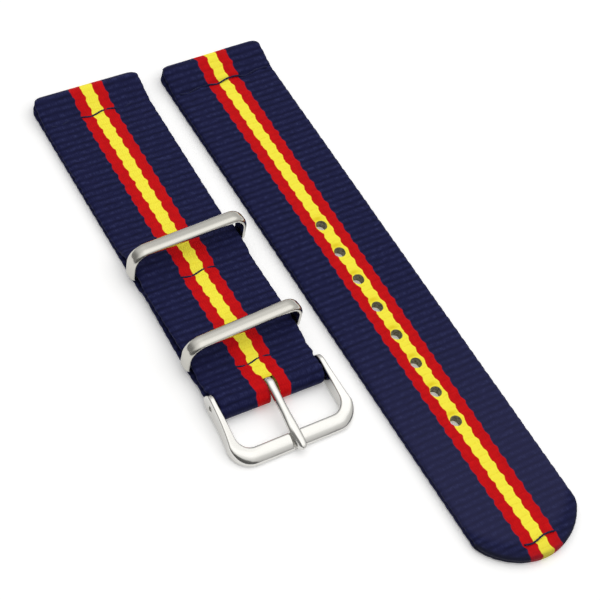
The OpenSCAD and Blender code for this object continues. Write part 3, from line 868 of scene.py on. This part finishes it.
def frameHeights(y, b):
    # top and underside, which run from the front bar to tangents of the round rear ends
    barMiddle = -b["reach"] - b["barWidth"] / 2
    z0, r, behind = buckleHalf["barZ"], b["lobe"], b["lobeBehind"]
    heights = []
    for start, sign in ((b["barHeight"], 1), (0, -1)):
        at = tangentPoint((barMiddle, start), (behind, z0), r, sign)
        if y > at[0]:
            heights.append(z0 + sign * math.sqrt(max(r * r - (y - behind) ** 2, 0)))
        else:
            share = max(0, (y - barMiddle) / (at[0] - barMiddle))
            heights.append(start + (at[1] - start) * share)
    return heights


def frameStations(b):
    # from the left arm's rear end to the middle of the front bar: pairs of inner and outer points, how far
    # along the arm they are, and how far round the corner and on along the bar
    rear = b["lobeBehind"] + b["lobe"]
    innerEnd = -b["reach"] + b["innerRadius"]
    outerEnd = -b["reach"] - b["barWidth"] + b["outerRadius"]
    turns = [rear - b["lobe"] * (1 - math.cos(t)) for t in np.linspace(0.06, math.pi / 2, 12)]
    shares = [(rear - y) / (rear - innerEnd) for y in turns]
    shares += list(np.linspace(shares[-1], 1, 14))[1:]
    stations = []
    for t in shares:
        yi, yo = rear + (innerEnd - rear) * t, rear + (outerEnd - rear) * t
        xo = b["rearHalf"] + (b["frontHalf"] - b["rearHalf"]) * t ** b["flare"]
        stations.append(((-b["innerHalf"], yi), (-xo, yo), t, 0.0))
    for t in np.linspace(0, math.pi / 2, 20)[1:]:
        inwards, forwards = 1 - math.cos(t), math.sin(t)
        inner = (-b["innerHalf"] + b["innerRadius"] * inwards, innerEnd - b["innerRadius"] * forwards)
        outer = (-b["frontHalf"] + b["outerRadius"] * inwards, outerEnd - b["outerRadius"] * forwards)
        stations.append((inner, outer, 1.0, t / (math.pi / 2)))
    xi = stations[-1][0][0]
    g = b["grooveWidth"] / 2
    # closer together at the groove's edge
    places = list(np.linspace(xi, -g - 0.25, 14))[1:] + [-g - 0.12, -g - 0.02, -g + 0.1, -g + 0.25, -0.6, 0]
    for x in places:
        stations.append(((x, -b["reach"]), (x, -b["reach"] - b["barWidth"]), 1.0, 1.0 + (x - xi) / 5))
    return stations


def frameRing(b, inner, outer, t, corner):
    inner, outer = np.array(inner), np.array(outer)
    top, low = frameHeights((inner[1] + outer[1]) / 2, b)
    width = np.linalg.norm(outer - inner)
    toCorner = float(smoothStep(0.38 * t + min(corner, 1), 0.15, 1.05))
    toFront = float(smoothStep(corner, 0.7, 1.7))
    shares = ((1 - toCorner), toCorner * (1 - toFront), toCorner * toFront)
    corners = [sum(np.array(r) * k for r, k in zip(radii, shares)) for radii in b["edges"]]
    slant = sum(s * k for s, k in zip(b["slants"], shares))
    ring = []
    for a, z in section(width, top - low, corners, steps=10, slants=(slant, 1, 1, 1)):
        x, y = (outer + inner) / 2 + (outer - inner) / width * a
        height = (top + low) / 2 + z
        if abs(x) < b["grooveWidth"] / 2:
            height = min(height - b["grooveSink"] * float(smoothStep(z, -0.9, 0.1)), b["grooveZ"])
        share = float(smoothStep(-y, -1, 5))
        aside = (b["aside"] + b["grooveAside"] * float(smoothStep(abs(x), 4, 1.5))) * share
        ahead = b["askew"] * x / b["frontHalf"] * share
        ring.append((x + aside, y + ahead - buckleHalf["barAt"], height))
    return ring


leftHalf = frameStations(buckle)
rightHalf = [((-i[0], i[1]), (-o[0], o[1]), t, c) for i, o, t, c in leftHalf[-2::-1]]
frameRings = [frameRing(buckle, *station) for station in leftHalf + rightHalf]
buckleFrame = loft("buckleFrame", frameRings, False, satinSteel)
barBore, barBoreFaces = pegs([barPlace], buckle["boreRadius"], -14, 14, axis=0)
cutWith(buckleFrame, "barBore", onBuckleHalf(barBore), barBoreFaces, satinSteel)
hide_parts("buckle_frame")
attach(buckleFrame, "buckle_frame")

tang = {
    "eye": 1.39,  # middle of the metal
    "eyeThick": 0.88,
    "thick": 1.05,
    "lies": 1.7,  # on the front bar, how far past its rear edge
    "overhang": 1.0,
    "above": 0.03,  # the bottom of the groove
    "droop": (0.15, 0.6),
    "nose": 0.65,
    "aside": (0.12, -0.26),  # at the bar and at the nose
    "edges": ((0.62, 0.5), (0.2, 0.2)),  # how far they round inwards and down, above and below
    "crown": 0.07,
    # the nose falls off to its left in a bevel, which also draws that side in
    "bevel": (-0.02, 0.42, 0.7),  # added to the left upper edge's two and to its slant
    "drawn": 0.2,
    # width at distances ahead of the bar
    "widths": (
        (-2, 1.7), (0.6, 1.66), (2.2, 1.58), (3.6, 1.54),
        (6.4, 1.66), (8.2, 1.92), (9.6, 2.02), (14, 1.95),
    ),
}


def tangPath(t, b, tipY):
    # the middle of the metal in the side view, from the bar's axis
    over = (-b["reach"] - t["lies"], b["grooveZ"] + t["above"] + t["thick"] / 2 - buckleHalf["barZ"])
    leave = tangentPoint(over, (0, 0), t["eye"], 1)
    line = arc((0, 0), t["eye"], 205, angleOf(leave, (0, 0)) + 360, 40) + between(leave, over, 30) + [over]
    # the nose droops past the front bar
    evenly, more = t["droop"]
    for g in np.arange(1, 15) / 14:
        line.append((over[0] + (tipY - over[0]) * g, over[1] - evenly * g - more * g**2.5))
    return np.array(line)


def addTang(t, b):
    tipY = -b["reach"] - b["barWidth"] - t["overhang"]
    path = tangPath(t, b, tipY)
    ahead = np.gradient(path, axis=0)
    ahead /= np.linalg.norm(ahead, axis=1)[:, None]
    at, widths = zip(*t["widths"])
    rings = []
    for p, (ay, az) in zip(path, ahead):
        thick = t["thick"] + (t["eyeThick"] - t["thick"]) * smoothStep(p[0], -2.2, -0.6)
        width = np.interp(-p[0], at, widths)
        toEnd = p[0] - tipY if p[1] > 0 or p[0] < -4 else 99
        nose = math.sqrt(max(1 - (1 - min(toEnd / t["nose"], 1)) ** 2, 0.015))
        inwards, down, slant = (k * float(smoothStep(-p[0], 8.7, 10.6)) for k in t["bevel"])
        drawn = t["drawn"] * float(smoothStep(-p[0], -tipY - 3.0, -tipY - 0.4))
        upper, lower = t["edges"]
        upperLeft = (upper[0] + inwards, upper[1] + down)
        edges = [(ra * nose, rb * nose) for ra, rb in (upper, upperLeft, lower, lower)]
        high, slants = thick * (0.4 + 0.6 * nose), (1, 1 + slant, 1, 1)
        profile = section((width - drawn) * nose, high, edges, crown=t["crown"] * nose, slants=slants)
        aside = t["aside"][0] + (t["aside"][1] - t["aside"][0]) * max(0, p[0] / tipY) + drawn / 2
        y, z = barPlace[1] + p[0], barPlace[2] + p[1]
        rings.append([(a + aside, y + az * out, z - ay * out) for a, out in profile])
    return loft("buckleTang", rings, False, satinSteel)


buckleTang = addTang(tang, buckle)
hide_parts("buckle_tang")
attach(buckleTang, "buckle_tang")
print("buckle and tang made")

keeper = {
    "half": 12.25,
    "height": 6.85,
    "strip": 2.7,
    "thick": 1.05,
    "topRadius": 3.4,
    "footRadius": 1.25,
    "z": 1.66,
    "edges": ((1.0, 0.6), (1.0, 0.6), (0.2, 0.2), (0.2, 0.2)),
    # how each lies in its channel: nearer the lug end, aside, turned and leaning
    "upper": (0.15, 0.12, 2.6, 8.0),
    "lower": (0, 0.15, 3.1, 4.6),
}


def keeperLoop(k):
    # the middle of the strip, round the loop
    w, h = k["half"] - k["thick"] / 2, k["height"] - k["thick"]
    rt, rf = k["topRadius"] - k["thick"] / 2, k["footRadius"] - k["thick"] / 2
    loop = arc((w - rf, rf), rf, -90, 0, 8) + arc((w - rt, h - rt), rt, 0, 90, 16)
    loop += between((w - rt, h), (-w + rt, h), 13)
    loop += arc((-w + rt, h - rt), rt, 90, 180, 16) + arc((-w + rf, rf), rf, 180, 270, 8)
    return np.array(loop + between((-w + rf, 0), (w - rf, 0), 13))


def addKeeper(name, node, at, lies, k):
    back, across, turn, lean = lies
    ca, sa = math.cos(math.radians(turn)), math.sin(math.radians(turn))
    cb, sb = math.cos(math.radians(lean)), math.sin(math.radians(lean))
    loop = keeperLoop(k)
    profile = section(k["strip"], k["thick"], k["edges"], steps=7)
    rings = []
    for p, ahead in zip(loop, directions(loop)):
        ring = []
        for e, out in profile:
            x, up = p[0] + ahead[1] * out, p[1] - ahead[0] * out
            y, z = up * sb - e * cb, up * cb + e * sb
            ring.append((across + x * ca - y * sa, back - at + x * sa + y * ca, k["z"] + z))
        rings.append(ring[::-1])
    piece = loft(name, rings, True, keeperSteel)
    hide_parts(node)
    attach(piece, node)


addKeeper("upperKeeper", "upper_keeper", buckleHalf["upperKeeper"], keeper["upper"], keeper)
addKeeper("lowerKeeper", "lower_keeper", buckleHalf["lowerKeeper"], keeper["lower"], keeper)
print("keepers bent")

# the spring bar shows as its own solids
for name in ("spring_bar_tube", "spring_bar_spring", "left_bar_tip", "right_bar_tip"):
    nodes[name].data.materials.clear()
    nodes[name].data.materials.append(turnedSteel)

studio = {
    "floor": (0.975, 0.975, 0.98, 1),
    "floorGlow": 0.16,  # seen by the camera and in the steel
    "floorHalf": 3000,
    "floorZ": -0.1,
    "keyPower": 0.9,
    "keySize": 1.2,
    "keyFrom": (0.30, -0.04, 0.96),
    # the bright ceiling: where it is brightest, and strength by the cosine from there
    "brightest": (0.13, -0.02, 0.99),
    "sky": ((0.0, 0.58), (0.26, 0.65), (0.5, 0.74), (0.68, 0.87), (0.80, 1.12), (0.9, 1.26), (1.0, 1.36)),
    "skyColour": (1.0, 0.995, 0.98),
    # unlit parts of the room, behind the camera and to the left: where, how sharply, how dark
    "dark": (
        ((-0.847, -0.489, 0.208), (0.83, 0.91), 0.72),
        ((-0.46, -0.87, 0.17), (0.76, 0.88), 0.82),
        ((0.06, -0.99, 0.10), (0.90, 0.96), 0.82),
        ((-0.926, 0.374, 0.052), (0.66, 0.94), 0.55),
    ),
}


def addFloor(look):
    s = newMaterial("floorPaper")
    place = s.add("TexCoord", out="Object")
    lighter = tuple(min(c * 1.01, 1) for c in look["floor"][:3]) + (1,)
    rays = s.tree.nodes.new("ShaderNodeLightPath").outputs
    seen = s.maths("MAXIMUM", rays["Is Camera Ray"], rays["Is Glossy Ray"])
    paper = s.surface(
        Base_Color=s.mix(s.noise(place, 30, 2), look["floor"], lighter),
        Roughness=0.9,
        Specular_IOR_Level=0.0,
        Emission_Color=(1, 1, 1, 1),
        Emission_Strength=s.maths("MULTIPLY", seen, look["floorGlow"]),
    )
    half, z = look["floorHalf"], look["floorZ"]
    corners = [(-half, -half, z), (half, -half, z), (half, half, z), (-half, half, z)]
    floor = addMesh("floor", corners, [(0, 1, 2, 3)], paper, smooth=False)


def addKeyLight(look):
    lamp = bpy.data.lights.new("key", "AREA")
    lamp.energy = look["keyPower"]
    lamp.size = look["keySize"]
    key = bpy.data.objects.new("key", lamp)
    bpy.context.scene.collection.objects.link(key)
    key.location = look["keyFrom"]
    key.rotation_euler = (-Vector(look["keyFrom"])).to_track_quat("-Z", "Y").to_euler()


def addRoom(look):
    # the room lights the pieces and shows in the steel, while the camera sees plain white behind them
    world = bpy.data.worlds.new("studio")
    bpy.context.scene.world = world
    s = Shading(world)
    place = s.add("TexCoord", out="Generated")
    ceiling = s.tree.nodes.new("ShaderNodeValToRGB")
    s.feed(ceiling.inputs["Fac"], s.cosine(place, look["brightest"]))
    stops = ceiling.color_ramp.elements
    while len(stops) < len(look["sky"]):
        stops.new(0.5)
    for stop, (height, strength) in zip(stops, look["sky"]):
        stop.position = height
        stop.color = tuple(c * strength for c in look["skyColour"]) + (1,)
    strength = 1.0
    for direction, (begin, full), darkness in look["dark"]:
        shade = s.ramp(s.cosine(place, direction), begin, full, 1.0, 1 - darkness)
        strength = s.maths("MINIMUM", strength, shade)
    light = s.add("Background", Color=ceiling.outputs[0], Strength=strength)
    white = s.add("Background", Color=(1, 1, 1, 1))
    join = s.tree.nodes.new("ShaderNodeMixShader")
    for socket, value in zip(join.inputs, (s.add("LightPath", out="Is Camera Ray"), light, white)):
        s.feed(socket, value)
    s.add("OutputWorld", Surface=join.outputs[0])


addFloor(studio)
addKeyLight(studio)
addRoom(studio)
bpy.context.scene.view_settings.view_transform = "Standard"
print("studio lit")
